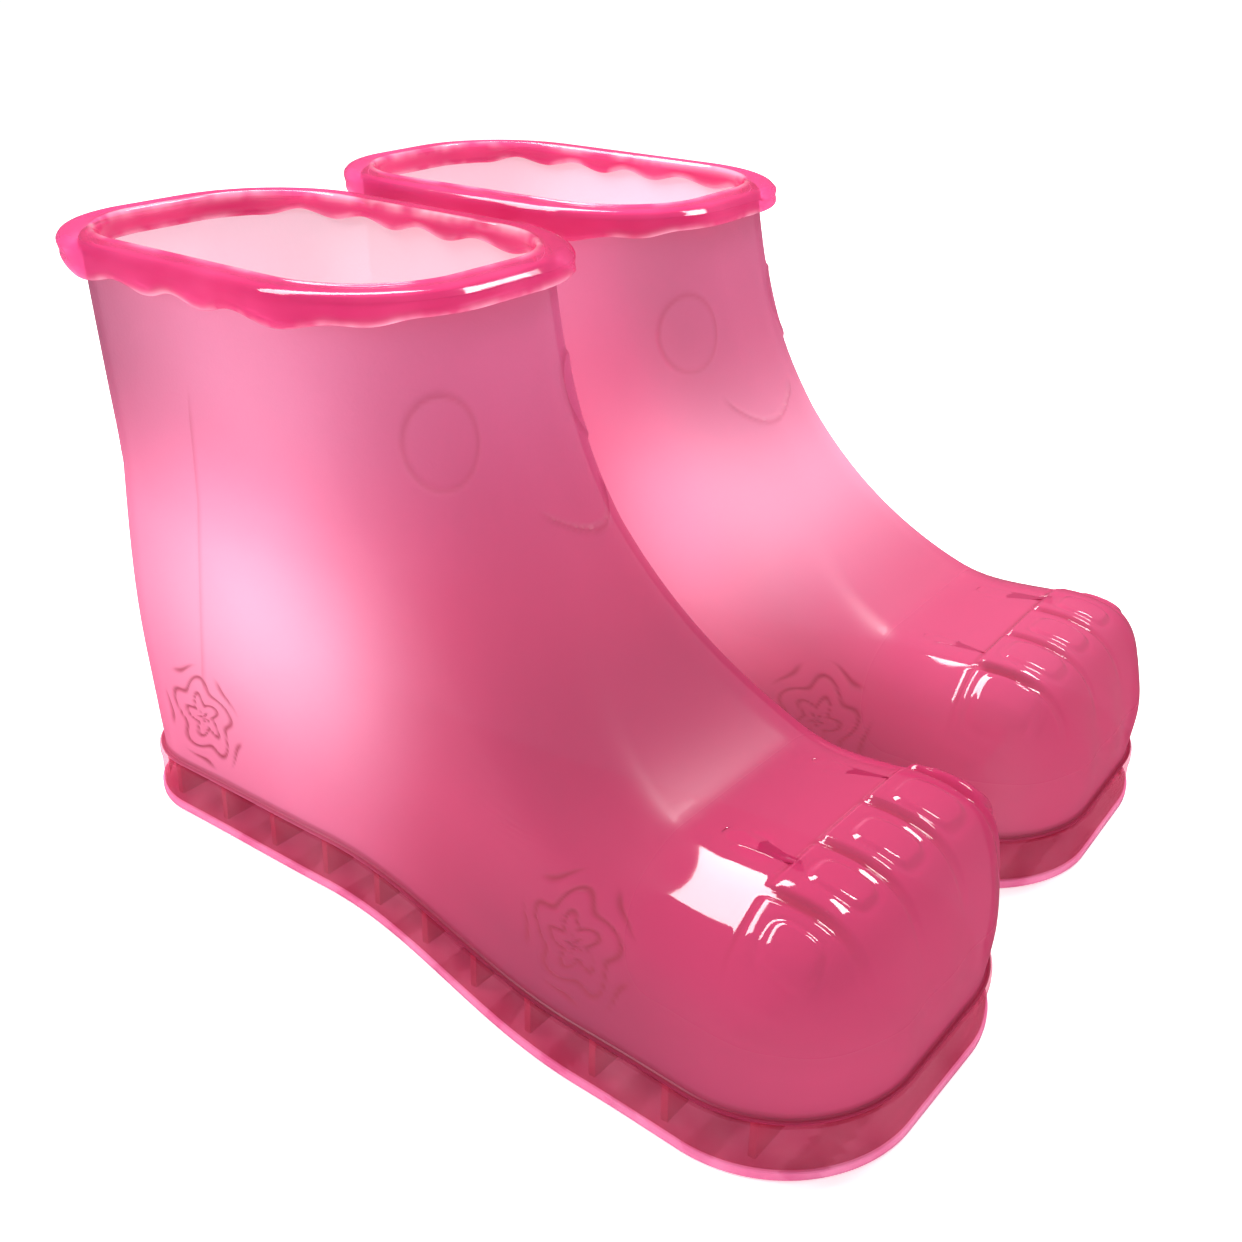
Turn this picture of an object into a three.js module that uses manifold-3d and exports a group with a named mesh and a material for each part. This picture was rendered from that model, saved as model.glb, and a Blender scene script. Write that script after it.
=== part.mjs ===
// A pair of moulded foot-bath boots: two tall tubs with toes, rolled collars and clear soles.
// Millimetres, +Z up, +X towards the toes, +Y towards the wearer's left.
// Each boot is drawn once, as the right boot: heel near x = 0, inner side of the foot at +y.
import * as THREE from 'three';
import Module from 'manifold-3d';

const wasm = await Module();
wasm.setup();

// ---- Driving dimensions ---------------------------------------------------------------------

const RIM_HEIGHT = 202;          // top of the rolled collar
const SOLE_TOP = 18;             // top of the clear sole, where the tub stands
const WALL = 2.4;                // moulded wall of the tub
const FIT_GAP = 0.3;             // clearance between neighbouring pieces

// Side view of the front: up the toe box, over the toes, up the instep to the rim.
const FRONT_PROFILE = [
  [305, 18], [306, 39], [302.5, 51], [293, 66], [234, 72],
  [225, 76], [177, 126], [158, 157], [144, 202],
];
// Side view of the back: from the heel up to the rim.
const BACK_PROFILE = [[3, 18], [0, 42], [-4, 109], [-1.5, 202]];

const HALF_WIDTH = { heel: 41, waist: 42, ball: 59.5, toe: 62, shaft: 42.5, rim: 50 };
const HEEL_X = 33;
const WAIST_X = 105;
const BALL_X = 227;
const TOE_X = 305;
const OUTWARD_SWING = 5;         // the toe box leans this far to the outer side
const CORNER = { heel: 29, toe: 43, toeTop: 25, shaft: 38 };   // plan fillet radii

const TOES = { root: 268, pitch: 25, raise: 1.5, groove: 2.2, grooveWidth: 4 };
const FLANGE = { reach: 1.8, thickness: 1.8 };
const COLLAR = {
  reach: 7, drop: 11, innerDrop: 8, slack: 0.8, scallop: 2.4, waves: 4, endLift: 4,
};
const SOLE = { reach: 2.4, plate: 3.2, skin: 2.4, ribs: 11, ribThickness: 2.2 };
const GRIP = { depth: 1, width: 5, count: 12 };
const FOOTBED = {
  thickness: 2.6, knobRadius: 6, knobRise: 3, knobPitch: 40, firstKnob: 28, lastKnob: 265,
};

const LEFT_BOOT = { x: -12.8, y: 130.3, turn: 2.4 };           // turn in degrees

const COLUMNS = 46;              // points round every loop of the tub
const COLLAR_COLUMNS = 64;
const OUTER_ROWS = 27;
const INNER_ROWS = 12;

const TUB_PINK = { color: 0xe06a94, roughness: 0.28, metalness: 0 };
const COLLAR_PINK = { color: 0xf04d8a, roughness: 0.2, metalness: 0 };
const FOOTBED_PINK = { color: 0xd9577f, roughness: 0.4, metalness: 0 };
const SOLE_PINK = { color: 0xb85a70, roughness: 0.22, metalness: 0 };
const TREAD_PINK = { color: 0xe0567c, roughness: 0.3, metalness: 0 };

// ---- Curves ---------------------------------------------------------------------------------

/** 0 before a, 1 after b, smooth in between. */
function smoothStep(value, a, b) {
  const t = Math.min(Math.max((value - a) / (b - a), 0), 1);
  return t * t * (3 - 2 * t);
}

/** Second derivatives of the natural cubic spline through values at the given knots. */
function splineBends(knots, values) {
  const last = knots.length - 1;
  const upper = new Array(last + 1).fill(0);
  const right = new Array(last + 1).fill(0);
  const bends = new Array(last + 1).fill(0);
  for (let i = 1; i < last; i += 1) {
    const before = knots[i] - knots[i - 1];
    const after = knots[i + 1] - knots[i];
    const slopeChange = (values[i + 1] - values[i]) / after - (values[i] - values[i - 1]) / before;
    const pivot = 2 * (before + after) - before * upper[i - 1];
    upper[i] = after / pivot;
    right[i] = (6 * slopeChange - before * right[i - 1]) / pivot;
  }
  for (let i = last - 1; i > 0; i -= 1) bends[i] = right[i] - upper[i] * bends[i + 1];
  return bends;
}

/** Value of the natural spline at t. */
function splineAt(knots, values, bends, t) {
  let i = 0;
  while (i < knots.length - 2 && t > knots[i + 1]) i += 1;
  const step = knots[i + 1] - knots[i];
  const b = (t - knots[i]) / step;
  const a = 1 - b;
  const curve = (a ** 3 - a) * bends[i] + (b ** 3 - b) * bends[i + 1];
  return a * values[i] + b * values[i + 1] + curve * step * step / 6;
}

/** Smooth curve through the points, as count + 1 points. */
function smoothCurve(points, count) {
  const knots = [0];
  for (let i = 1; i < points.length; i += 1) {
    const [x0, z0] = points[i - 1];
    const [x1, z1] = points[i];
    knots.push(knots[i - 1] + Math.hypot(x1 - x0, z1 - z0));
  }
  const xs = points.map((p) => p[0]);
  const zs = points.map((p) => p[1]);
  const xBends = splineBends(knots, xs);
  const zBends = splineBends(knots, zs);
  const curve = [];
  for (let i = 0; i <= count; i += 1) {
    const t = knots[knots.length - 1] * i / count;
    curve.push([splineAt(knots, xs, xBends, t), splineAt(knots, zs, zBends, t)]);
  }
  return curve;
}

/** Point at a place along the curve, counted in its own points. */
function curvePoint(curve, place) {
  const i = Math.min(Math.floor(place), curve.length - 2);
  const b = place - i;
  return [0, 1].map((k) => curve[i][k] * (1 - b) + curve[i + 1][k] * b);
}

/** Place along the curve where it reaches the height z. */
function placeAtHeight(curve, z) {
  let i = 0;
  while (i < curve.length - 2 && curve[i + 1][1] < z) i += 1;
  return i + (z - curve[i][1]) / (curve[i + 1][1] - curve[i][1]);
}

/** The curve with both ends carried on, so distances stay true past the ends. */
function carriedOn(curve) {
  const top = curve[curve.length - 1];
  const below = curve[curve.length - 2];
  const slope = (top[0] - below[0]) / (top[1] - below[1]);
  return [[curve[0][0], curve[0][1] - 80], ...curve, [top[0] + slope * 80, top[1] + 80]];
}

/** Distance from (x, z) to the curve, positive on its outer side. */
function curveDistance(x, z, curve, outerSide) {
  let best = Infinity;
  let side = 1;
  for (let i = 0; i < curve.length - 1; i += 1) {
    const [ax, az] = curve[i];
    const dx = curve[i + 1][0] - ax;
    const dz = curve[i + 1][1] - az;
    const px = x - ax;
    const pz = z - az;
    const t = Math.min(Math.max((px * dx + pz * dz) / (dx * dx + dz * dz), 0), 1);
    const gap = Math.hypot(px - t * dx, pz - t * dz);
    if (gap < best) {
      best = gap;
      side = dz * px - dx * pz > 0 ? 1 : -1;
    }
  }
  return best * side * outerSide;
}

// ---- The body of the boot as a distance field -----------------------------------------------

const FRONT = smoothCurve(FRONT_PROFILE, 60);
const BACK = smoothCurve(BACK_PROFILE, 24);
const FRONT_LONG = carriedOn(FRONT);
const BACK_LONG = carriedOn(BACK);

/** 0 in the foot, 1 in the shaft. */
function shaftShare(z) {
  return smoothStep(z, 33, 128);
}

/** Half the boot's width at this place. */
function halfWidth(x, z) {
  const w = HALF_WIDTH;
  const foot = w.heel
    + (w.waist - w.heel) * smoothStep(x, HEEL_X, WAIST_X)
    + (w.ball - w.waist) * smoothStep(x, WAIST_X, BALL_X)
    + (w.toe - w.ball) * smoothStep(x, BALL_X, TOE_X);
  const rise = Math.min(Math.max((z - 124) / (RIM_HEIGHT - 124), 0), 1);
  const shaft = w.shaft + (w.rim - w.shaft) * rise;
  return foot + (shaft - foot) * shaftShare(z);
}

/** y of the middle of the boot at this place. */
function middleY(x, z) {
  return -OUTWARD_SWING * smoothStep(x, WAIST_X, TOE_X) * (1 - shaftShare(z));
}

/** Larger of two distances, with a round corner where they meet. */
function roundedMax(a, b, radius) {
  const corner = Math.hypot(Math.max(a + radius, 0), Math.max(b + radius, 0));
  return Math.min(Math.max(a, b) + radius, 0) + corner - radius;
}

/** How far the toes stand out from the plain body: raised pads with grooves between them. */
function toeRelief(x, y, z) {
  const lane = (y - middleY(x, z)) / TOES.pitch;
  const groove = Math.min(Math.max(Math.round(lane - 0.5), -2), 1) + 0.5;
  const gap = (lane - groove) * TOES.pitch / TOES.grooveWidth;
  const fade = smoothStep(z, 24, 62) * (1 - smoothStep(Math.abs(lane), 1.8, 2.3));
  const pads = smoothStep(x, TOES.root - 5, TOES.root + 5);
  return pads * fade * (TOES.raise - TOES.groove * Math.exp(-gap * gap));
}

/** Distance to the boot's outer skin, negative inside. */
function bodyDistance(x, y, z) {
  const front = curveDistance(x, z, FRONT_LONG, 1);
  const back = curveDistance(x, z, BACK_LONG, -1);
  const side = Math.abs(y - middleY(x, z)) - halfWidth(x, z);
  const shaft = smoothStep(z, 57, 142);
  const toe = CORNER.toe + (CORNER.toeTop - CORNER.toe) * smoothStep(z, 28, 71);
  const frontCorner = toe + (CORNER.shaft - toe) * shaft;
  const backCorner = CORNER.heel + (CORNER.shaft - CORNER.heel) * shaft;
  return Math.max(roundedMax(front, side, frontCorner), roundedMax(back, side, backCorner));
}

/** Outward direction of the skin at a point on it. */
function skinNormal(point) {
  const step = 0.5;
  const slope = [0, 1, 2].map((k) => {
    const ahead = point.map((value, i) => value + (i === k ? step : 0));
    const behind = point.map((value, i) => value - (i === k ? step : 0));
    return bodyDistance(...ahead) - bodyDistance(...behind);
  });
  const length = Math.hypot(...slope);
  return slope.map((value) => value / length);
}

/** Point on the skin with the toe relief added. */
function toePoint(point) {
  const relief = toeRelief(...point);
  const normal = skinNormal(point);
  return point.map((value, k) => value + normal[k] * relief);
}

/** Point where the ray from the middle of the chord leaves the skin, moved out by offset. */
function skinPoint(chord, angle, offset) {
  const [[frontX, frontZ], [backX, backZ]] = chord;
  const start = [(frontX + backX) / 2, 0, (frontZ + backZ) / 2];
  const ray = [
    (frontX - backX) / 2 * Math.cos(angle),
    60 * Math.sin(angle),
    (frontZ - backZ) / 2 * Math.cos(angle),
  ];
  let inside = 0;
  let outside = 1.7;
  for (let i = 0; i < 18; i += 1) {
    const reach = (inside + outside) / 2;
    const [x, y, z] = start.map((s, k) => s + ray[k] * reach);
    if (bodyDistance(x, y, z) < offset) inside = reach;
    else outside = reach;
  }
  return start.map((s, k) => s + ray[k] * inside);
}

// ---- Loops ----------------------------------------------------------------------------------

/** Angles round the boot; crowding 0..1 gathers them over the toes. */
function anglesRound(count, crowding) {
  return Array.from({ length: count }, (_, i) => {
    const t = 2 * Math.PI * i / count;
    return t - crowding * Math.sin(t);
  });
}

const TUB_ANGLES = anglesRound(COLUMNS, 0.5);
const COLLAR_ANGLES = anglesRound(COLLAR_COLUMNS, 0);

/** Level loop round the boot at height z, standing off the skin by offset. */
function levelLoop(z, offset, angles = TUB_ANGLES) {
  const chord = [FRONT_LONG, BACK_LONG].map((curve) => curvePoint(curve, placeAtHeight(curve, z)));
  return angles.map((angle) => skinPoint(chord, angle, offset));
}

/** Loop between sole and rim, v = 0 at the sole and 1 at the rim; it tilts over the instep. */
function fanLoop(v, offset) {
  const low = SOLE_TOP + FLANGE.thickness;
  const high = RIM_HEIGHT - WALL - FIT_GAP;
  const shares = [v ** 1.15, v ** 1.8];
  const chord = [FRONT, BACK].map((curve, i) => {
    const from = placeAtHeight(curve, low);
    const to = placeAtHeight(curve, high);
    return curvePoint(curve, from + (to - from) * shares[i]);
  });
  return TUB_ANGLES.map((angle) => skinPoint(chord, angle, offset));
}

/** Fan loops from the sole up to the rim. */
function fanLoops(rows, offset) {
  return Array.from({ length: rows }, (_, i) => fanLoop(i / (rows - 1), offset));
}

// ---- Solids ---------------------------------------------------------------------------------

/** Closed solid from stacked loops: capped at both ends, or joined end to end as a ring. */
function loopSolid(loops, isRing) {
  const count = loops[0].length;
  const points = loops.flat();
  const triangles = [];
  const bands = isRing ? loops.length : loops.length - 1;
  for (let row = 0; row < bands; row += 1) {
    const below = row * count;
    const above = ((row + 1) % loops.length) * count;
    for (let i = 0; i < count; i += 1) {
      const next = (i + 1) % count;
      triangles.push([below + i, below + next, above + next]);
      triangles.push([below + i, above + next, above + i]);
    }
  }
  if (!isRing) addCaps(loops, points, triangles);
  const mesh = new wasm.Mesh({
    numProp: 3,
    vertProperties: new Float32Array(points.flat()),
    triVerts: new Uint32Array(triangles.flat()),
  });
  return new wasm.Manifold(mesh);
}

/** Closes the first and last loop with a fan of triangles round a middle point. */
function addCaps(loops, points, triangles) {
  const count = loops[0].length;
  const lastStart = (loops.length - 1) * count;
  const bottomMiddle = points.push(middleOf(loops[0])) - 1;
  const topMiddle = points.push(middleOf(loops[loops.length - 1])) - 1;
  for (let i = 0; i < count; i += 1) {
    const next = (i + 1) % count;
    triangles.push([bottomMiddle, next, i]);
    triangles.push([topMiddle, lastStart + i, lastStart + next]);
  }
}

/** Middle of a loop's length, half way between its front and back points. */
function middleOf(loop) {
  const front = loop[0];
  const back = loop[loop.length / 2];
  return front.map((value, k) => (value + back[k]) / 2);
}

/** Box between two corners. */
function boxSolid([x0, y0, z0], [x1, y1, z1]) {
  const rectangle = (z) => [[x1, y0, z], [x1, y1, z], [x0, y1, z], [x0, y0, z]];
  return loopSolid([rectangle(z0), rectangle(z1)], false);
}

// ---- Pieces of one boot ---------------------------------------------------------------------

/** Thin tub with five toes and a narrow flange where it meets the sole. */
function upperShell() {
  const flange = [SOLE_TOP, SOLE_TOP + FLANGE.thickness].map((z) => levelLoop(z, FLANGE.reach));
  const outer = fanLoops(OUTER_ROWS, 0).map((loop) => loop.map(toePoint));
  const inner = fanLoops(INNER_ROWS, -WALL).reverse();
  const foot = levelLoop(SOLE_TOP, -WALL);
  return loopSolid([...flange, ...outer, ...inner, foot], true);
}

/** How far the collar's edge is lifted at this angle: waves on the sides, shorter at the ends. */
function edgeLift(angle, isOuter) {
  const side = smoothStep(Math.abs(Math.sin(angle)), 0.45, 0.75);
  const waves = COLLAR.scallop * (1 + Math.cos(COLLAR.waves * 4 * angle)) / 2;
  const end = isOuter ? COLLAR.endLift : 0;
  return side * waves + (1 - side) * end;
}

/** Soft collar hooked over the top edge of the tub. */
function rimCollar() {
  const { reach, drop, innerDrop, slack } = COLLAR;
  const inner = -WALL - slack;
  const section = [
    // stand-off from the skin, height from the rim, whether it is lifted with the edge
    [slack, -drop, 1],
    [reach - 2, -drop, 1],
    [reach - 0.3, -drop + 2, 1],
    [reach, -4.5, 0],
    [reach - 1.2, -1.4, 0],
    [reach - 4, 0, 0],
    [-1, 0, 0],
    [inner - 2, -1.4, 0],
    [inner - 2.2, -innerDrop, 1],
    [inner, -innerDrop, 1],
    [inner, -WALL, 0],
    [slack, -WALL, 0],
  ];
  const loops = section.map(([offset, height, isLifted]) => {
    const loop = levelLoop(RIM_HEIGHT + height, offset, COLLAR_ANGLES);
    const lift = COLLAR_ANGLES.map((angle) => isLifted * edgeLift(angle, offset > 0));
    return loop.map(([x, y, z], i) => [x, y, z + lift[i]]);
  });
  return loopSolid(loops, true);
}

/** Inner floor that closes the tub, with rows of massage knobs. */
function footbed() {
  const low = SOLE_TOP + FIT_GAP;
  const top = low + FOOTBED.thickness;
  const edge = -WALL - FIT_GAP;
  let floor = loopSolid([levelLoop(low, edge), levelLoop(top, edge)], false);
  for (const [x, y] of knobPlaces()) floor = floor.add(knob(x, y, top));
  return floor;
}

/** Middles of the massage knobs, in rows across the foot. */
function knobPlaces() {
  const places = [];
  for (let x = FOOTBED.firstKnob; x < FOOTBED.lastKnob; x += FOOTBED.knobPitch) {
    const spread = halfWidth(x, SOLE_TOP) * 0.45;
    const middle = middleY(x, SOLE_TOP);
    places.push([x, middle - spread], [x, middle + spread]);
    places.push([x + FOOTBED.knobPitch / 2, middle]);
  }
  return places;
}

/** Low dome standing on the footbed. */
function knob(x, y, top) {
  const { knobRadius: radius, knobRise: rise } = FOOTBED;
  const steps = [[-1, 1], [0, 1], [0.6 * rise, 0.8], [rise, 0.35]];
  const loops = steps.map(([height, share]) => (
    anglesRound(8, 0).map((a) => [
      x + radius * share * Math.cos(a),
      y + radius * share * Math.sin(a),
      top + height,
    ])
  ));
  return loopSolid(loops, false);
}

/** Hollow clear sole: an upright skirt with cross ribs. */
function soleFrame() {
  const low = SOLE.plate + FIT_GAP;
  const high = SOLE_TOP - FIT_GAP;
  const inner = SOLE.reach - SOLE.skin;
  const skirt = loopSolid([
    levelLoop(low, SOLE.reach - 0.4),
    levelLoop(high, SOLE.reach),
    levelLoop(high, inner),
    levelLoop(low, inner - 0.4),
  ], true);
  const hollow = loopSolid([levelLoop(low, inner), levelLoop(high, inner + 0.4)], false);
  let frame = skirt;
  for (const x of ribPlaces()) {
    const rib = boxSolid([x, -90, low], [x + SOLE.ribThickness, 90, high]);
    frame = frame.add(rib.intersect(hollow));
  }
  return frame;
}

/** x of each cross rib, evenly spread between heel and toe. */
function ribPlaces() {
  const pitch = TOE_X / (SOLE.ribs + 1);
  return Array.from({ length: SOLE.ribs }, (_, i) => (i + 1) * pitch);
}

/** Bottom plate with its bright lip and shallow grip grooves. */
function outsole() {
  const edge = SOLE.reach + 0.4;
  let plate = loopSolid([levelLoop(0, edge - 0.6), levelLoop(SOLE.plate, edge)], false);
  const pitch = TOE_X / GRIP.count;
  for (let i = 0; i < GRIP.count; i += 1) {
    const x = (i + 0.5) * pitch - GRIP.width / 2;
    const cut = boxSolid([x, -90, -1], [x + GRIP.width, 90, GRIP.depth]);
    plate = plate.subtract(cut);
  }
  return plate;
}

// ---- The pair -------------------------------------------------------------------------------

const PIECES = [
  ['upper_shell', upperShell(), TUB_PINK],
  ['rim_collar', rimCollar(), COLLAR_PINK],
  ['footbed', footbed(), FOOTBED_PINK],
  ['sole_frame', soleFrame(), SOLE_PINK],
  ['outsole', outsole(), TREAD_PINK],
];

/** Mesh of a solid, mirrored for the left boot and set in its place. */
function placedMesh(name, solid, look, isLeft) {
  const body = isLeft ? solid.mirror([0, 1, 0]) : solid;
  const { vertProperties, triVerts } = body.getMesh();
  const geometry = new THREE.BufferGeometry();
  geometry.setAttribute('position', new THREE.BufferAttribute(new Float32Array(vertProperties), 3));
  geometry.setIndex(new THREE.BufferAttribute(new Uint32Array(triVerts), 1));
  if (isLeft) {
    geometry.rotateZ(THREE.MathUtils.degToRad(LEFT_BOOT.turn));
    geometry.translate(LEFT_BOOT.x, LEFT_BOOT.y, 0);
  }
  geometry.computeVertexNormals();
  const mesh = new THREE.Mesh(geometry, new THREE.MeshStandardMaterial(look));
  mesh.name = name;
  return mesh;
}

const pair = new THREE.Group();
pair.name = 'foot_bath_boots';
for (const [name, solid, look] of PIECES) {
  pair.add(placedMesh(`right_${name}`, solid, look, false));
  pair.add(placedMesh(`left_${name}`, solid, look, true));
}

// The origin is under the middle of the pair.
const middle = new THREE.Box3().setFromObject(pair).getCenter(new THREE.Vector3());
for (const mesh of pair.children) mesh.geometry.translate(-middle.x, -middle.y, 0);

export default pair;
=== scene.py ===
"""Looks of a pair of foot-bath boots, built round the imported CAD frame.

Each boot is drawn once in its own millimetres, as the right boot: heel near x = 0, toes towards +x,
inner side of the foot at +y. The left boot is its mirror image, turned a little.
"""
import math

import bpy
import numpy as np
from mathutils import Matrix, Vector


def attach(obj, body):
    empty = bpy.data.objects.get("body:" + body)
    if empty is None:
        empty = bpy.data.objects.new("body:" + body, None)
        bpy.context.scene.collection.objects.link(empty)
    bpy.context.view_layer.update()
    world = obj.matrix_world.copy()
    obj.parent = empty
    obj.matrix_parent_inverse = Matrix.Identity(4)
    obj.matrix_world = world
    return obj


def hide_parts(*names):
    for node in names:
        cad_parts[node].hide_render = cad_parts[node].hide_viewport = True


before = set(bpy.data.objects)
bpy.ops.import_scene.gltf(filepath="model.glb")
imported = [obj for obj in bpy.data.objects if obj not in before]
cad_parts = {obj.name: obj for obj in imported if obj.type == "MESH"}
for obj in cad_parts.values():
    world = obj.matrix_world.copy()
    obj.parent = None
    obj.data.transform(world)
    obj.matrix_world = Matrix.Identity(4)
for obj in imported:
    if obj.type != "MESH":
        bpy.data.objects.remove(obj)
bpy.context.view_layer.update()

# ---- Driving dimensions, in millimetres ------------------------------------------------------

RIM_HEIGHT = 202
SOLE_TOP = 18
WALL = 2.4
FIT_GAP = 0.3
PAIR_MIDDLE = (142.87, 70.62)
LEFT_PLACE = (-12.8, 130.3)
LEFT_TURN = math.radians(2.4)

FRONT_PROFILE = [
    (305, 18), (306, 39), (302.5, 51), (293, 66), (234, 72),
    (225, 76), (177, 126), (158, 157), (144, 202),
]
BACK_PROFILE = [(3, 18), (0, 42), (-4, 109), (-1.5, 202)]
HALF_WIDTH = {"heel": 41, "waist": 42, "ball": 59.5, "toe": 62, "shaft": 42.5, "rim": 50}
HEEL_X, WAIST_X, BALL_X, TOE_X = 33, 105, 227, 305
OUTWARD_SWING = 5
CORNER = {"heel": 29, "toe": 43, "toe_top": 25, "shaft": 38}

TOE_ROOT = 268
TOE_PITCH = 25
TOE_RAISE = 1.5
TOE_STAIR = 0.3                  # every toe stands this much higher than the one outside it
NAIL_X = 282
OVAL = {"place": (149, 29, 160), "facing": 39, "half_width": 10.5, "half_height": 12.5}
SMILE = {"place": (172, 10, 129), "facing": 20, "half_width": 16, "rise": 7}
FLOWER_PLACES = [(222, 60, 44), (46, 41, 42)]
FLOWER_RADIUS = 19

COLLAR_REACH = 7
COLLAR_SLACK = 0.8
SCALLOP = 2.4
SCALLOP_TURNS = 16               # waves in a full turn; only those on the two sides are kept
END_LIFT = 4                     # the collar is this much shorter in front and behind
COLLAR_SPAN = 12                 # height below the rim over which the collar follows the wall
SOLE_PLATE = 3.2
SOLE_RIBS = 11
RIB_THICKNESS = 2.2
FLOOR_THICKNESS = 2.6
KNOB = {"pitch": 40, "radius": 6, "rise": 3, "first": 28, "last": 265}
GRIP_GROOVES = 12

# Painted glow, a paler patch with its own emission where light would come through the wall: x, height,
# reach, depth of colour beside it, extra painted emission.
GLOW = {"right": (76, 88, 50, 1, 0), "left": (166, 100, 40, 0.75, 0.25)}
# Painted shade for each boot, darker instep and darker front of the shaft:
SHADE = {"right": (0.45, 0.1), "left": (0, 0.35)}        # darker instep, darker front of the shaft

COLUMNS = 760                    # points round every loop
OUTER_ROWS = 380
INNER_ROWS = 90
COARSE_COLUMNS = 120             # the skin is traced on a coarser grid and then refined
COARSE_ROWS = 73


# ---- Curves ----------------------------------------------------------------------------------

def smooth_step(value, start, end):
    """0 before start, 1 after end, smooth in between."""
    t = np.clip((value - start) / (end - start), 0, 1)
    return t * t * (3 - 2 * t)


def natural_spline(knots, values, at):
    """Natural cubic spline through the rows of values at the knots, read off at new places."""
    table = values.reshape(len(knots), -1)
    step = np.diff(knots)
    slope = np.diff(table, axis=0) / step[:, None]
    system = np.eye(len(knots))
    change = np.zeros_like(table)
    for i in range(1, len(knots) - 1):
        system[i, i - 1:i + 2] = step[i - 1], 2 * (step[i - 1] + step[i]), step[i]
        change[i] = 6 * (slope[i] - slope[i - 1])
    bends = np.linalg.solve(system, change)
    i = np.clip(np.searchsorted(knots, at, side="right") - 1, 0, len(knots) - 2)
    b = ((at - knots[i]) / step[i])[:, None]
    a = 1 - b
    curve = (a ** 3 - a) * bends[i] + (b ** 3 - b) * bends[i + 1]
    result = a * table[i] + b * table[i + 1] + curve * (step[i] ** 2)[:, None] / 6
    return result.reshape((len(at),) + values.shape[1:])


class Profile:
    """Side-view curve as close-set points with outward normals; its ends are carried on straight."""

    CARRY = 80

    def __init__(self, points, outer_side):
        points = np.array(points, float)
        knots = np.concatenate([[0], np.cumsum(np.linalg.norm(np.diff(points, axis=0), axis=1))])
        self.places = np.linspace(0, knots[-1], 1201)
        self.curve = natural_spline(knots, points, self.places)
        run = np.linspace(0, 1, 161)[:, None]
        last = self.curve[-1] - self.curve[-2]
        below = self.curve[0] + (run[:0:-1] * (0, -self.CARRY))
        above = self.curve[-1] + run[1:] * last / last[1] * self.CARRY
        self.points = np.concatenate([below, self.curve, above])
        tangent = np.gradient(self.points, axis=0)
        tangent /= np.linalg.norm(tangent, axis=1)[:, None]
        self.normals = np.stack([tangent[:, 1], -tangent[:, 0]], 1) * outer_side

    def at_height(self, z):
        """Point of the curve at the height z."""
        i = np.argmax(self.points[:, 1] >= z)
        (x0, z0), (x1, z1) = self.points[i - 1], self.points[i]
        return np.array([x0 + (x1 - x0) * (z - z0) / (z1 - z0), z])

    def between(self, low, high, share):
        """Points at the shares 0..1 of the way from one height to another."""
        places = [self.places[np.argmax(self.curve[:, 1] >= z)] for z in (low, high)]
        at = places[0] + (places[1] - places[0]) * share
        return np.stack([np.interp(at, self.places, self.curve[:, k]) for k in (0, 1)], 1)

    def distance(self, x, z):
        """Distance of points to the curve, positive on its outer side."""
        stride = 24
        spots = np.stack([x, z], 1)[:, None]
        coarse = np.argmin(((spots - self.points[::stride]) ** 2).sum(2), 1) * stride
        window = np.clip(coarse[:, None] + np.arange(-stride, stride + 1), 0, len(self.points) - 1)
        gaps = spots - self.points[window]
        best = np.argmin((gaps ** 2).sum(2), 1)
        every = np.arange(len(best))
        return (gaps[every, best] * self.normals[window[every, best]]).sum(1)


FRONT = Profile(FRONT_PROFILE, 1)
BACK = Profile(BACK_PROFILE, -1)


# ---- The boot's body as a distance field -----------------------------------------------------

def shaft_share(z):
    """0 in the foot, 1 in the shaft."""
    return smooth_step(z, 33, 128)


def half_width(x, z):
    """Half the boot's width at this place."""
    w = HALF_WIDTH
    foot = (w["heel"]
            + (w["waist"] - w["heel"]) * smooth_step(x, HEEL_X, WAIST_X)
            + (w["ball"] - w["waist"]) * smooth_step(x, WAIST_X, BALL_X)
            + (w["toe"] - w["ball"]) * smooth_step(x, BALL_X, TOE_X))
    rise = np.clip((z - 124) / (RIM_HEIGHT - 124), 0, 1)
    shaft = w["shaft"] + (w["rim"] - w["shaft"]) * rise
    return foot + (shaft - foot) * shaft_share(z)


def middle_y(x, z):
    """y of the middle of the boot at this place."""
    return -OUTWARD_SWING * smooth_step(x, WAIST_X, TOE_X) * (1 - shaft_share(z))


def rounded_max(a, b, radius):
    """Larger of two distances, with a round corner where they meet."""
    corner = np.hypot(np.maximum(a + radius, 0), np.maximum(b + radius, 0))
    return np.minimum(np.maximum(a, b) + radius, 0) + corner - radius


def body_distance(x, y, z):
    """Distance to the boot's outer skin, negative inside."""
    side = np.abs(y - middle_y(x, z)) - half_width(x, z)
    shaft = smooth_step(z, 57, 142)
    toe = CORNER["toe"] + (CORNER["toe_top"] - CORNER["toe"]) * smooth_step(z, 28, 71)
    front_corner = toe + (CORNER["shaft"] - toe) * shaft
    back_corner = CORNER["heel"] + (CORNER["shaft"] - CORNER["heel"]) * shaft
    front = rounded_max(FRONT.distance(x, z), side, front_corner)
    back = rounded_max(BACK.distance(x, z), side, back_corner)
    return np.maximum(front, back)


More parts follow.
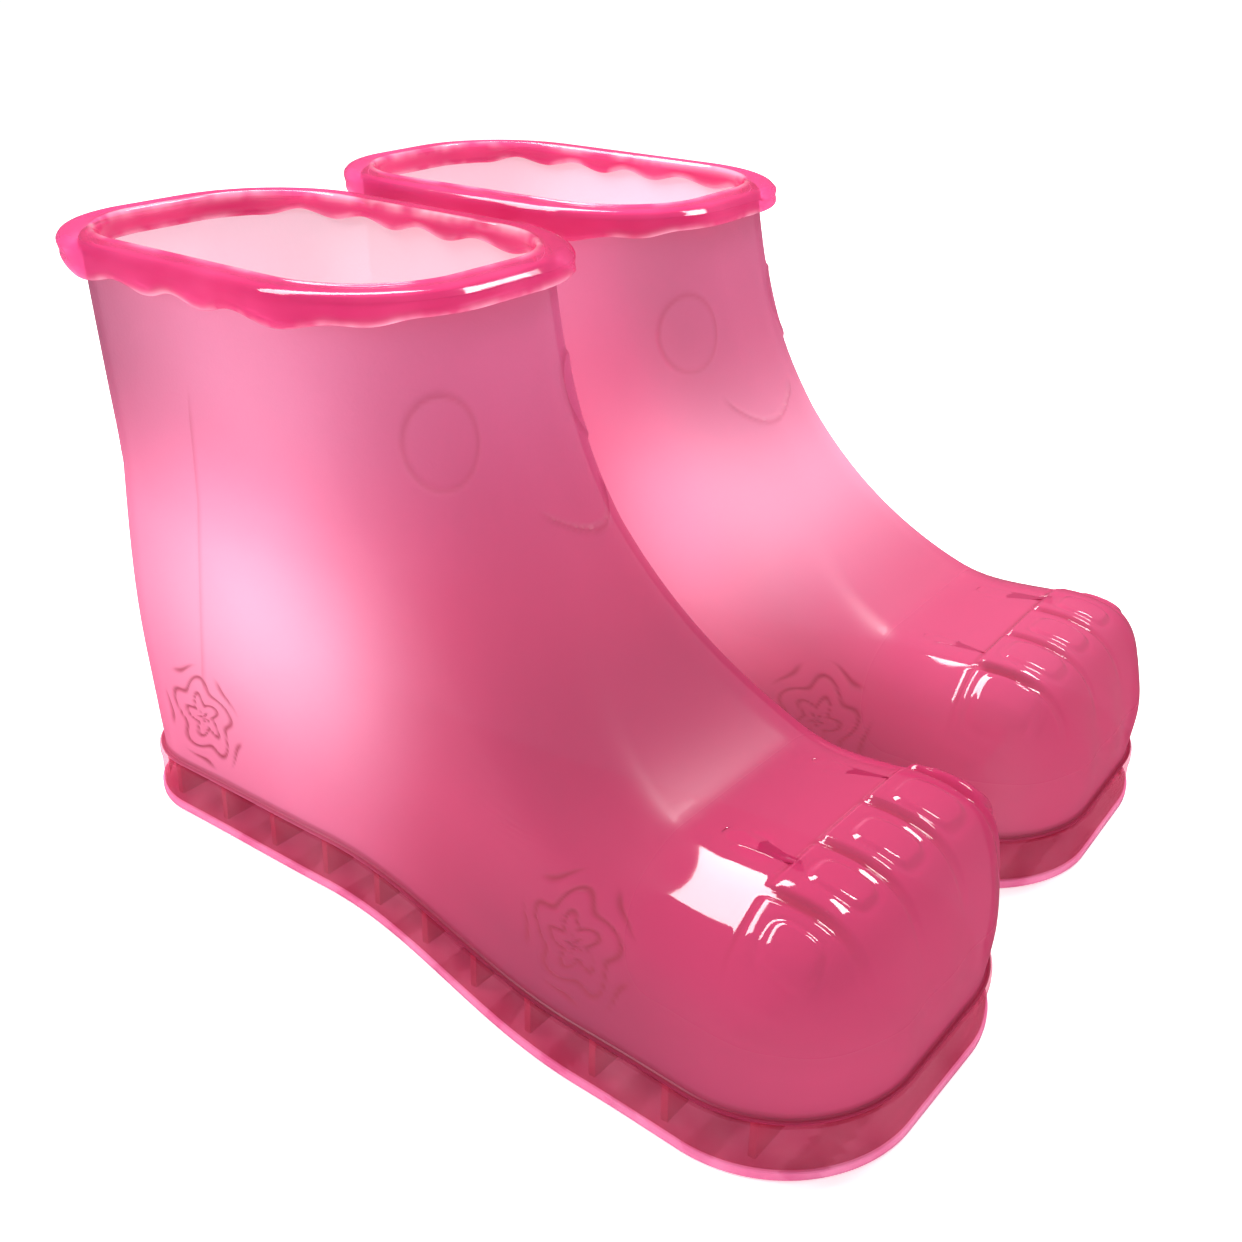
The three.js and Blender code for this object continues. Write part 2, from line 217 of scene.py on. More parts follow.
def skin_points(front, back, angle, offset):
    """Grid of skin points: one row for each front-back chord, one column for each angle."""
    middle = (front + back) / 2
    half = (front - back) / 2
    zero = np.zeros(len(middle))
    start = np.stack([middle[:, 0], zero, middle[:, 1]], 1)[:, None]
    along = np.stack([half[:, 0], zero, half[:, 1]], 1)[:, None]
    across = np.array([0, 60, 0])
    ray = along * np.cos(angle)[:, None] + across * np.sin(angle)[:, None]
    inside = np.zeros(ray.shape[:2])
    outside = np.full(ray.shape[:2], 1.7)
    for _ in range(22):
        reach = (inside + outside) / 2
        spots = (start + ray * reach[..., None]).reshape(-1, 3)
        is_inside = (body_distance(*spots.T) < offset).reshape(reach.shape)
        inside = np.where(is_inside, reach, inside)
        outside = np.where(is_inside, outside, reach)
    return start + ray * inside[..., None]


def even_turns(count):
    """Turns round the boot that are evenly spaced along the foot and closer together at the toes."""
    turns = np.linspace(0, 2 * math.pi, 721)
    loop = skin_points(FRONT.at_height(50)[None], BACK.at_height(50)[None], toe_angle(turns), 0)[0]
    step = np.linalg.norm(np.diff(loop, axis=0), axis=1)
    step *= 1 + 0.8 * smooth_step((loop[1:, 0] + loop[:-1, 0]) / 2, 240, 275)
    length = np.concatenate([[0], np.cumsum(step)])
    return np.interp(np.linspace(0, length[-1], count, endpoint=False), length, turns)


def toe_angle(turn):
    """Angle of the ray for a turn; equal turns crowd towards the toes."""
    return turn - 0.5 * np.sin(turn)


TURNS = even_turns(COLUMNS)
COARSE_TURNS = np.linspace(0, 2 * math.pi, COARSE_COLUMNS, endpoint=False)


def level_loop(z, offset):
    """Level loop round the boot at the height z, standing off the skin by offset."""
    front, back = FRONT.at_height(z)[None], BACK.at_height(z)[None]
    return skin_points(front, back, toe_angle(TURNS), offset)[0]


def fan_grid(rows, offset):
    """Fine grid from the sole (0) to the rim (1), smooth in both directions."""
    share = np.linspace(0, 1, COARSE_ROWS)
    low, high = SOLE_TOP + WALL, RIM_HEIGHT - WALL - FIT_GAP
    front = FRONT.between(low, high, share ** 1.15)
    back = BACK.between(low, high, share ** 1.8)
    coarse = skin_points(front, back, toe_angle(COARSE_TURNS), offset)
    tall = natural_spline(share, coarse, rows)
    wrap = 10
    padded = np.concatenate([tall[:, -wrap:], tall, tall[:, :wrap]], 1).transpose(1, 0, 2)
    step = COARSE_TURNS[1]
    knots = np.arange(-wrap, COARSE_COLUMNS + wrap) * step
    return natural_spline(knots, padded, TURNS).transpose(1, 0, 2)


def loop_normals(loop):
    """Level outward unit normals of a loop that runs round the boot."""
    along = np.roll(loop, -1, axis=0) - np.roll(loop, 1, axis=0)
    normal = np.stack([along[:, 1], -along[:, 0], np.zeros(len(loop))], 1)
    return normal / np.linalg.norm(normal, axis=1)[:, None]


def grid_normals(grid):
    """Outward unit normals of a grid whose columns run round the boot and rows upwards."""
    wrapped = np.concatenate([grid[:, -1:], grid, grid[:, :1]], 1)
    around = (wrapped[:, 2:] - wrapped[:, :-2])
    upward = np.gradient(grid, axis=0)
    normal = np.cross(around, upward)
    return normal / np.linalg.norm(normal, axis=2)[..., None]


# ---- Relief moulded into the tub -------------------------------------------------------------

def ridge(gap, width):
    """Soft line: 1 on it, falling away over the width."""
    return np.exp(-(gap / width) ** 2)


def toe_lanes(x, y, z):
    """Toe number of each point, counted from the middle toe, and its distance to a groove."""
    lane = (y - middle_y(x, z)) / TOE_PITCH
    groove = np.clip(np.round(lane - 0.5), -2, 1) + 0.5
    return lane, (lane - groove) * TOE_PITCH


def toe_relief(x, y, z):
    """Five raised toe pads with grooves between them, and nails on top."""
    lane, gap = toe_lanes(x, y, z)
    pads = smooth_step(x, TOE_ROOT - 1.3, TOE_ROOT + 1.3)
    sides = 1 - smooth_step(np.abs(lane), 1.9, 2.35)
    top = smooth_step(z, 46, 66)
    trench = (1 - smooth_step(np.abs(gap), 0.6, 2.5)) * (1 - 0.7 * smooth_step(x, 284, 299))
    terrace = (TOE_RAISE + TOE_STAIR * np.floor(lane + 0.5)) * (1 - trench)
    streak = 0.35 * np.cos(2 * math.pi * lane) * smooth_step(z, 24, 40)
    return pads * sides * (top * terrace + (1 - top) * streak) + nail_relief(x, lane, z)


def nail_relief(x, lane, z):
    """A rounded nail with a fold round it on every toe."""
    toe = np.clip(np.round(lane), -2, 2)
    along = (x - NAIL_X) / (9.0 + 0.5 * toe)
    across = (lane - toe * 0.95) * TOE_PITCH / (6.8 + 0.8 * toe)
    reach = (np.abs(along) ** 4 + np.abs(across) ** 4) ** 0.25
    plate = (0.65 + 0.2 * along) * (1 - smooth_step(reach, 0.76, 1.0))
    nail = plate - 0.2 * ridge(reach - 1.06, 0.09)
    return nail * smooth_step(z, 54, 60) * smooth_step(x, TOE_ROOT + 1, TOE_ROOT + 5)


def facing_coordinates(points, centre, facing):
    """Sideways, upward and outward distance from a place on a wall that faces the plan angle."""
    turn = math.radians(facing)
    offset = points - np.array(centre)
    sideways = offset[..., 1] * math.cos(turn) - offset[..., 0] * math.sin(turn)
    depth = offset[..., 0] * math.cos(turn) + offset[..., 1] * math.sin(turn)
    return sideways, offset[..., 2], depth


def oval(points, side):
    """Oval on the ankle: its raised middle and its outline."""
    x, y, z = OVAL["place"]
    u, w, depth = facing_coordinates(points, (x, side * y, z), side * OVAL["facing"])
    reach = np.hypot(u / OVAL["half_width"], w / OVAL["half_height"])
    near = np.abs(depth) < 25
    return near * (1 - smooth_step(reach, 0.9, 1.02)), near * ridge(reach - 1, 0.07)


def smile(points):
    """Upturned arc across the front of the shaft."""
    u, w, depth = facing_coordinates(points, SMILE["place"], SMILE["facing"])
    near = (np.abs(depth) < 25) * (1 - smooth_step(np.abs(u), 15, 19))
    return near * ridge(w - SMILE["rise"] * (u / SMILE["half_width"]) ** 2, 0.9)


def flower(points, centre, facing):
    """Generic flower of wavy rings, engraved on the side of the foot."""
    u, w, depth = facing_coordinates(points, centre, facing)
    reach = np.hypot(u, w) / FLOWER_RADIUS
    turn = np.arctan2(w, u)
    rings = reach * 2.9 + 0.32 * np.sin(5 * turn + 4 * reach)
    lines = ridge(rings - np.round(rings), 0.12)
    return (np.abs(depth) < 20) * lines * (1 - smooth_step(reach, 0.92, 1.08))


def flower_lines(points):
    """All four flowers of a boot: two at the heel, two at the ball of the foot."""
    lines = 0
    for side in (-1, 1):
        for x, y, z in FLOWER_PLACES:
            lines = lines + flower(points, (x, side * y, z), side * 90)
    return lines


def mould_line(x, z, side):
    """Fine upright line on the heel side."""
    seam = 40 + 0.146 * z
    span = smooth_step(z, 50, 60) * (1 - smooth_step(z, 150, 165))
    return side * span * ridge(x - seam, 0.7)


def tub_relief(points):
    """How far the marks and toes stand out from the plain skin."""
    x, y, z = np.moveaxis(points, -1, 0)
    relief = toe_relief(x, y, z) - 0.45 * flower_lines(points)
    for side in (-1, 1):
        dome, outline = oval(points, side)
        relief += 0.5 * dome + 0.7 * outline
    relief += 0.8 * smile(points)
    relief += 0.35 * mould_line(x, z, y < 0)
    return relief


def dark_marks_and_painted_shade(points):
    """Darker lines: the marks drawn darker, and painted shade in the toe grooves, along the toe roots
    and at the foot of the wall.
    """
    x, y, z = np.moveaxis(points, -1, 0)
    lane, gap = toe_lanes(x, y, z)
    on_toes = smooth_step(x, TOE_ROOT, TOE_ROOT + 4) * smooth_step(z, 40, 66)
    on_toes *= 1 - smooth_step(np.abs(lane), 1.9, 2.3)
    # Painted shade in the toe grooves, and along the step at the toe roots below.
    grooves = 0.85 * on_toes * ridge(gap, 1.8) * (1 - smooth_step(x, 280, 300))
    root = 0.4 * ridge(x - TOE_ROOT + 0.8, 0.9) * (1 - smooth_step(np.abs(lane), 1.9, 2.3)) * (z > 50)
    # Painted shade at the foot of the wall, where it meets the sole.
    foot = 0.8 * ridge(z - SOLE_TOP - 1.6, 0.9)
    # The marks themselves are drawn darker.
    marks = 0.95 * flower_lines(points) + 0.4 * smile(points) + 0.3 * mould_line(x, z, y < 0)
    for side in (-1, 1):
        marks = marks + 0.35 * oval(points, side)[1]
    return np.clip(marks + grooves + root + foot, 0, 1)


# ---- Meshes ----------------------------------------------------------------------------------

def placed(points, side):
    """The boot's own millimetres as metres in the pair's frame."""
    x, y, z = np.moveaxis(np.asarray(points, float), -1, 0)
    if side == "left":
        y = -y
        cos, sin = math.cos(LEFT_TURN), math.sin(LEFT_TURN)
        x, y = x * cos - y * sin + LEFT_PLACE[0], x * sin + y * cos + LEFT_PLACE[1]
    return np.stack([x - PAIR_MIDDLE[0], y - PAIR_MIDDLE[1], z], -1) / 1000


def ring_faces(rows, columns, is_ring):
    """Quads of a grid of loops, joined end to end where is_ring is true."""
    bands = rows if is_ring else rows - 1
    row, column = np.meshgrid(np.arange(bands), np.arange(columns), indexing="ij")
    following = (row + 1) % rows
    beside = (column + 1) % columns
    corners = [row * columns + column, row * columns + beside,
               following * columns + beside, following * columns + column]
    return np.stack(corners, -1).reshape(-1, 4)


def cap_faces(start, columns, centre, is_top):
    """Fan of triangles that closes a loop."""
    i = np.arange(columns)
    beside = (i + 1) % columns
    ends = (i, beside) if is_top else (beside, i)
    return np.stack([np.full(columns, centre), start + ends[0], start + ends[1]], 1)


def make_mesh(name, points, faces, side, attributes=None):
    """Object from points in boot millimetres; attributes are one value a point."""
    if side == "left":
        faces = [face[:, ::-1] for face in faces]
    mesh = bpy.data.meshes.new(name)
    flat = placed(points, side).reshape(-1, 3)
    corners = np.concatenate([face.ravel() for face in faces])
    sizes = np.concatenate([np.full(len(face), face.shape[1]) for face in faces])
    mesh.vertices.add(len(flat))
    mesh.vertices.foreach_set("co", flat.astype(np.float32).ravel())
    mesh.loops.add(len(corners))
    mesh.loops.foreach_set("vertex_index", corners.astype(np.int32))
    mesh.polygons.add(len(sizes))
    mesh.polygons.foreach_set("loop_start", (np.cumsum(sizes) - sizes).astype(np.int32))
    mesh.update(calc_edges=True)
    for key, values in (attributes or {}).items():
        layer = mesh.attributes.new(key, "FLOAT", "POINT")
        layer.data.foreach_set("value", np.asarray(values, np.float32).ravel())
    mesh.shade_smooth()
    mesh.set_sharp_from_angle(angle=math.radians(42))
    mesh.update()
    piece = bpy.data.objects.new(name, mesh)
    bpy.context.scene.collection.objects.link(piece)
    return piece


def row_places():
    """Rows of the tub from sole to rim, closer together over the toes."""
    share = np.linspace(0, 1, 2001)
    density = 1 + 1.6 * smooth_step(share, 0.1, 0.14) * (1 - smooth_step(share, 0.36, 0.42))
    total = np.concatenate([[0], np.cumsum((density[1:] + density[:-1]) / 2)])
    return np.interp(np.linspace(0, total[-1], OUTER_ROWS), total, share)


def tub_loops():
    """Loops of the tub: the foot flange, up the outside, over the edge and down the inside."""
    flange_profile = [
        (-WALL, 0), (1.2, 0), (1.6, 0.25), (1.7, 0.7), (1.4, 1.1), (0.9, 1.15), (0.5, 0.85),
        (0.15, 1.1),
    ]
    flange = [level_loop(SOLE_TOP + z, offset) for offset, z in flange_profile]
    outer = fan_grid(row_places(), 0)
    outer = outer + grid_normals(outer) * tub_relief(outer)[..., None]
    inner = fan_grid(np.linspace(1, 0, INNER_ROWS), -WALL)
    return np.concatenate([flange, outer, inner]), len(flange), len(outer)


TUB_LOOPS, FLANGE_ROWS, TUB_ROWS = tub_loops()


def make_tub(side):
    rows, columns = TUB_LOOPS.shape[:2]
    inner = np.zeros((rows, columns))
    inner[FLANGE_ROWS + TUB_ROWS:] = 1
    inner[0] = 1
    # Dark marks and painted shade, on the outside only.
    lines = dark_marks_and_painted_shade(TUB_LOOPS) * (1 - inner)
    attributes = {"inner": inner, "lines": lines, **tub_looks(TUB_LOOPS, side)}
    return make_mesh(f"{side}_tub", TUB_LOOPS, [ring_faces(rows, columns, True)], side, attributes)


def tub_looks(points, side):
    """Where a glow is painted for light coming through the plastic, where shade is painted, and where
    the plastic is deep pink, frosted and polished.
    """
    x, _, z = np.moveaxis(points, -1, 0)
    glow_x, glow_z, glow_reach, depth_share, painted_emission = GLOW[side]
    # Painted glow: a paler, glowing patch where light would come through the wall.
    painted_glow = ridge(np.hypot((x - glow_x) / glow_reach, (z - glow_z) / 40), 1)
    depth = smooth_step(x, 82, 168) * depth_share
    depth += (1 - depth_share) * smooth_step(x, 286, 302)
    frost = smooth_step(z, 105, 172)
    # Painted shade: the upper rear of the shaft is darker.
    painted_rear_shade = 1 - smooth_step(x, 10, 85)
    polish = smooth_step(x, 228, 248) * smooth_step(z, 26, 66)
    # Painted shade on the lower ball, the instep and the front of the shaft.
    shade = 0.65 * ridge((x - 215) / 55, 1) * (1 - smooth_step(z, 30, 66))
    instep_shade, edge_shade = SHADE[side]
    shade += instep_shade * ridge(np.hypot((x - 205) / 42, (z - 88) / 30), 1)
    front_x = np.interp(z, FRONT.curve[:, 1], FRONT.curve[:, 0])
    shade += edge_shade * smooth_step(x - front_x, -30, -4) * smooth_step(z, 95, 140)
    return {"painted_glow": painted_glow, "painted_emission": painted_glow * painted_emission, "depth": depth, "frost": frost, "painted_rear_shade": painted_rear_shade,
            "polish": polish, "shade": shade}


def chaikin(section, times):
    """Closed section with its corners cut round."""
    section = np.array(section, float)
    for _ in range(times):
        beside = np.roll(section, -1, axis=0)
        section = np.stack([section * 0.75 + beside * 0.25, section * 0.25 + beside * 0.75], 1)
        section = section.reshape(-1, section.shape[-1])
    return section


def make_collar(side):
    """Soft rolled collar hooked over the edge, wavy along its lower edges on the two sides."""
    inner = -WALL - COLLAR_SLACK
    section = [
        # stand-off from the skin, height from the rim, share of the waves and the lift, share of the
        # painted highlight
        (COLLAR_SLACK, -11, 1, 0), (4.4, -11.3, 1, 0.5), (6.2, -11.2, 1, 1), (6.6, -9.8, 1, 0.2),
        (6.3, -8.6, 1, 0), (COLLAR_REACH, -4.5, 0.5, 0), (6.6, -2.2, 0, 0), (5.2, -0.7, 0, 0),
        (2.4, -0.1, 0, 0), (-2.2, -0.5, 0, 0), (-3.2, 0.2, 0, 0.5), (-4.4, 0, 0, 1),
        (inner - 1.8, -1.2, 0, 0.6), (inner - 2.1, -3, 0, 0), (inner - 1.6, -6, 1, 0),
        (inner - 2.1, -7.4, 1, 0.6), (inner - 1.2, -8.2, 1, 1), (inner, -8, 1, 0),
        (inner, -WALL, 0, 0), (COLLAR_SLACK, -WALL, 0, 0),
    ]
    angle = toe_angle(TURNS)
    sides = smooth_step(np.abs(np.sin(angle)), 0.45, 0.75)
    waves = sides * SCALLOP * (1 + np.cos(SCALLOP_TURNS * angle)) / 2
    low, high = level_loop(RIM_HEIGHT - COLLAR_SPAN, 0), level_loop(RIM_HEIGHT, 0)
    outward = loop_normals(high)
    loops = []
    painted_highlight = []
    for offset, height, share, highlight_share in chaikin(section, 2):
        end_lift = (1 - sides) * END_LIFT * (offset > 0)
        rise = (height + share * (waves + end_lift))[:, None]
        loops.append(high + (high - low) * rise / COLLAR_SPAN + outward * offset)
        painted_highlight.append(np.full(len(high), highlight_share))
    loops = np.array(loops)
    faces = [ring_faces(*loops.shape[:2], True)]
    return make_mesh(f"{side}_collar", loops, faces, side, {"painted_highlight": np.array(painted_highlight)})


def capped(loops):
    """Points and faces of stacked loops closed at both ends."""
    rows, columns = loops.shape[:2]
    points = loops.reshape(-1, 3)
    ends = [loops[0].mean(0), loops[-1].mean(0)]
    points = np.concatenate([points, ends])
    last = (rows - 1) * columns
    faces = [
        ring_faces(rows, columns, False),
        cap_faces(0, columns, len(points) - 2, False),
        cap_faces(last, columns, len(points) - 1, True),
    ]
    return points, faces


def shrunk(loop, share):
    """The loop drawn in towards its middle line."""
    middle = np.array([loop[:, 0].mean(), loop[:, 1].mean(), 0])
    result = middle + (loop - middle) * share
    result[:, 2] = loop[:, 2]
    return result


def make_footbed(side):
    """Inner floor with round massage knobs."""
    low = SOLE_TOP + FIT_GAP
    top = low + FLOOR_THICKNESS
    outline = level_loop(top, -WALL - FIT_GAP)[::2]
    base = level_loop(low, -WALL - FIT_GAP)[::2]
    loops = [shrunk(base, s) for s in np.linspace(0.03, 1, 8)]
    for share in np.linspace(1, 0.01, 110):
        loop = shrunk(outline, share)
        loop[:, 2] += knob_rise(loop[:, 0], loop[:, 1])
        loops.append(loop)
    points, faces = capped(np.array(loops))
    return make_mesh(f"{side}_floor", points, faces, side)


def knob_rise(x, y):
    """Height of the massage knobs above the floor."""
    rise = np.zeros_like(x)
    for row_x in np.arange(KNOB["first"], KNOB["last"], KNOB["pitch"]):
        beside = half_width(row_x, SOLE_TOP) * 0.45
        middle = middle_y(row_x, SOLE_TOP)
        between_x = row_x + KNOB["pitch"] / 2
        for knob_x, knob_y in ((row_x, middle - beside), (row_x, middle + beside), (between_x, middle)):
            reach = np.clip(np.hypot(x - knob_x, y - knob_y) / KNOB["radius"], 0, 1)
            rise += KNOB["rise"] * (1 - reach ** 2) ** 1.2
    return rise


def box_mesh(corner, opposite):
    """Points and faces of a box."""
    (x0, y0, z0), (x1, y1, z1) = corner, opposite
    points = [(x1, y0, z0), (x1, y1, z0), (x0, y1, z0), (x0, y0, z0),
              (x1, y0, z1), (x1, y1, z1), (x0, y1, z1), (x0, y0, z1)]
    faces = [(3, 2, 1, 0), (4, 5, 6, 7), (0, 1, 5, 4), (1, 2, 6, 5), (2, 3, 7, 6), (3, 0, 4, 7)]
    return np.array(points, float), np.array(faces)


def loop_crossings(loop, x):
    """Inner limits in y of the loop's two sides near this x."""
    near = loop[np.abs(loop[:, 0] - x) < 2.5]
    return near[near[:, 1] < middle_y(x, 0), 1].max(), near[near[:, 1] > middle_y(x, 0), 1].min()


def make_sole(side):
    """Clear upright sole wall with cross ribs behind it."""
    low, high = SOLE_PLATE + FIT_GAP, SOLE_TOP - FIT_GAP
    profile = [
        (0, low), (2.0, low), (1.9, low + 3), (2.0, high - 3), (2.4, high - 1.6), (2.4, high),
        (0, high),
    ]
    wall = np.array([level_loop(z, offset) for offset, z in profile])
    points = [wall.reshape(-1, 3)]
    faces = [ring_faces(*wall.shape[:2], True)]
    inside = level_loop(low, -0.2)
    count = len(points[0])
    skin_count = count
    for i in range(SOLE_RIBS):
        x = (i + 1) * TOE_X / (SOLE_RIBS + 1)
        y0, y1 = loop_crossings(inside, x + RIB_THICKNESS / 2)
        box, box_faces = box_mesh((x, y0, low), (x + RIB_THICKNESS, y1, high))
        points.append(box)
        faces.append(box_faces + count)
        count += len(box)
    solid = np.zeros(count)
    solid[skin_count:] = 1
    return make_mesh(f"{side}_sole_wall", np.concatenate(points), faces, side, {"solid": solid})


def make_tread(side):
    """Bottom plate with a rounded lip and shallow grip grooves across it."""
    lip = [(2.2, 0), (2.6, 0.4), (2.8, 1.6), (2.8, SOLE_PLATE - 0.3), (2.5, SOLE_PLATE)]
    rings = [level_loop(z, offset)[::2] for offset, z in lip]
    below = []
    for share in np.linspace(0.01, 0.985, 60):
        loop = shrunk(rings[0], share)
        place = loop[:, 0] / TOE_X * GRIP_GROOVES
        groove = 1 - smooth_step(np.abs(place - np.floor(place) - 0.5), 0.08, 0.12)
        loop[:, 2] = groove
        below.append(loop)
    above = [shrunk(rings[-1], share) for share in np.linspace(0.98, 0.01, 6)]
    points, faces = capped(np.array(below + rings + above))
    return make_mesh(f"{side}_tread", points, faces, side)


# ---- Materials -------------------------------------------------------------------------------

def new_material(name):
    """Empty node material; returns it with its node tree and its output node."""
    material = bpy.data.materials.new(name)
    material.use_nodes = True
    tree = material.node_tree
    tree.nodes.clear()
    output = tree.nodes.new("ShaderNodeOutputMaterial")
    return material, tree, output


def add_node(tree, kind, inputs=None, **settings):
    """Node with settings; inputs are values or output sockets to link from."""
    node = tree.nodes.new("ShaderNode" + kind)
    for key, value in settings.items():
        setattr(node, key, value)
    for key, value in (inputs or {}).items():
        if isinstance(value, bpy.types.NodeSocket):
            tree.links.new(value, node.inputs[key])
        else:
            node.inputs[key].default_value = value
    return node


def attribute(tree, name):
    """Value stored with the mesh's points."""
    return add_node(tree, "Attribute", attribute_name=name).outputs["Fac"]


def noise(tree, scale, detail=3.0, roughness=0.5):
    """Noise in the object's own coordinates."""
    place = add_node(tree, "TexCoord").outputs["Object"]
    inputs = {"Vector": place, "Scale": scale, "Detail": detail, "Roughness": roughness}
    return add_node(tree, "TexNoise", inputs).outputs["Fac"]


def mixed(tree, share, first, second):
    """Colour between two colours or sockets."""
    node = add_node(tree, "Mix", data_type="RGBA")
    for socket, value in zip((node.inputs[0], node.inputs[6], node.inputs[7]), (share, first, second)):
        if isinstance(value, bpy.types.NodeSocket):
            tree.links.new(value, socket)
        else:
            socket.default_value = value
    return node.outputs[2]


def spread(tree, value, low, high, to_low, to_high):
    """Value mapped from one range to another."""
    inputs = {"Value": value, "From Min": low, "From Max": high, "To Min": to_low, "To Max": to_high}
    return add_node(tree, "MapRange", inputs).outputs["Result"]


def arithmetic(tree, operation, first, second):
    """Two values put together by a Math node."""
    return add_node(tree, "Math", {0: first, 1: second}, operation=operation).outputs[0]


def linear(red, green, blue):
    """Colour given as 0..255 on a screen, as linear light."""
    values = []
    for value in (red, green, blue):
        share = value / 255
        values.append(share / 12.92 if share <= 0.04045 else ((share + 0.055) / 1.055) ** 2.4)
    return (*values, 1)


def bumped(tree, height, strength, distance):
    """Bump node for fine grain."""
    return add_node(tree, "Bump", {"Height": height, "Strength": strength, "Distance": distance})


def let_light_through(tree, output, surface, colour, through, normal, tint, clear):
    """Lets a share of the light through the wall, and a smaller share straight through."""
    milk = add_node(tree, "BsdfTranslucent", {"Color": colour, "Normal": normal})
    milky = add_node(tree, "MixShader", {0: through, 1: surface, 2: milk.outputs[0]})
    window = add_node(tree, "BsdfTransparent", {"Color": linear(*tint)})
    mix = add_node(tree, "MixShader", {0: clear, 1: milky.outputs[0], 2: window.outputs[0]})
    tree.links.new(mix.outputs[0], output.inputs["Surface"])


def painted_light_strength(tree):
    """Strength of a painted glow, emission standing in for light through the milky wall: inside the
    shaft and on the painted glow outside.
    """
    inside = spread(tree, attribute(tree, "inner"), 0, 1, 0, 0.85)
    return arithmetic(tree, "MAXIMUM", inside, attribute(tree, "painted_emission"))


def tub_colour(tree):
    """Pink that is deep in the foot, with a painted glow where light would come through and greyer
    above, with painted shade and dark marks laid over it.
    """
    deep = mixed(tree, attribute(tree, "depth"), linear(232, 120, 162), linear(194, 46, 100))
    # Painted glow: paler where light would come through the wall.
    pink_with_painted_glow = mixed(tree, attribute(tree, "painted_glow"), deep, linear(250, 196, 222))
    middle = mixed(tree, attribute(tree, "depth"), linear(212, 134, 166), linear(186, 70, 120))
    # Painted shade: the upper rear darker.
    top = mixed(tree, attribute(tree, "painted_rear_shade"), middle, linear(146, 76, 104))
    frosted = mixed(tree, attribute(tree, "frost"), pink_with_painted_glow, top)
    cloud = spread(tree, noise(tree, 14, 2), 0.3, 0.7, 0, 0.14)
    # Painted shade on the ball, the instep and the front of the shaft.
    shaded = mixed(tree, attribute(tree, "shade"), frosted, linear(120, 24, 60))
    clouded = mixed(tree, cloud, shaded, linear(190, 50, 92))
    # Dark marks, with painted shade in the toe grooves, at the toe roots and at the foot of the wall.
    return mixed(tree, attribute(tree, "lines"), clouded, linear(150, 16, 52))


def tub_material():
    """Milky plastic, glossy at the toes and frosted above; its inner side is painted nearly white and
    glows, a painted glow for light that comes through the wall.
    """
    material, tree, output = new_material("tub_plastic")
    lined = tub_colour(tree)
    # Painted glow: the inner side is nearly white.
    colour = mixed(tree, attribute(tree, "inner"), lined, linear(255, 238, 245))
    paler = mixed(tree, 0.35, colour, linear(204, 130, 166))
    painted_glow = mixed(tree, attribute(tree, "painted_glow"), paler, linear(246, 186, 212))
    grain = noise(tree, 900, 2)
    bump_share = spread(tree, attribute(tree, "frost"), 0, 1, 0.02, 0.25)
    normal = bumped(tree, grain, bump_share, 0.0004).outputs["Normal"]
    roughness = spread(tree, attribute(tree, "polish"), 0, 1, 0.36, 0.06)
    # Colour of the painted glow's emission, inside and out.
    painted_light_colour = mixed(tree, attribute(tree, "inner"), linear(255, 214, 232), linear(232, 255, 255))
    surface = add_node(tree, "BsdfPrincipled", {
        "Base Color": colour, "Roughness": roughness, "IOR": 1.52, "Normal": normal,
        "Coat Weight": attribute(tree, "polish"),
        "Emission Color": painted_light_colour, "Emission Strength": painted_light_strength(tree),
    })
    surface.inputs["Coat Roughness"].default_value = 0.04
    through = spread(tree, attribute(tree, "inner"), 0, 1, 0.42, 0.4)
    clear = spread(tree, attribute(tree, "inner"), 0, 1, 0.1, 0.4)
    let_light_through(tree, output, surface.outputs[0], painted_glow, through, normal, (255, 214, 230), clear)
    return material


def collar_material():
    """Soft glossy pink, with a painted highlight, paler and glowing, along its rolled edges."""
    material, tree, output = new_material("collar_plastic")
    cloud = spread(tree, noise(tree, 30, 2), 0.3, 0.7, 0, 1)
    body = mixed(tree, cloud, linear(240, 96, 160), linear(216, 62, 130))
    broken = spread(tree, noise(tree, 70, 2), 0.4, 0.6, 0.1, 0.9)
    painted_highlight = arithmetic(tree, "MULTIPLY", broken, attribute(tree, "painted_highlight"))
    colour = mixed(tree, painted_highlight, body, linear(255, 236, 246))
    normal = bumped(tree, noise(tree, 60, 2), 0.15, 0.002).outputs["Normal"]
    # The painted highlight along the edges also glows a little.
    surface = add_node(tree, "BsdfPrincipled", {
        "Base Color": colour, "Roughness": 0.1, "IOR": 1.52, "Normal": normal, "Coat Weight": 1.0,
        "Emission Color": linear(255, 236, 246),
        "Emission Strength": spread(tree, painted_highlight, 0, 1, 0, 0.35),
    })
    let_light_through(tree, output, surface.outputs[0], colour, 0.35, normal, (255, 160, 206), 0.4)
    return material


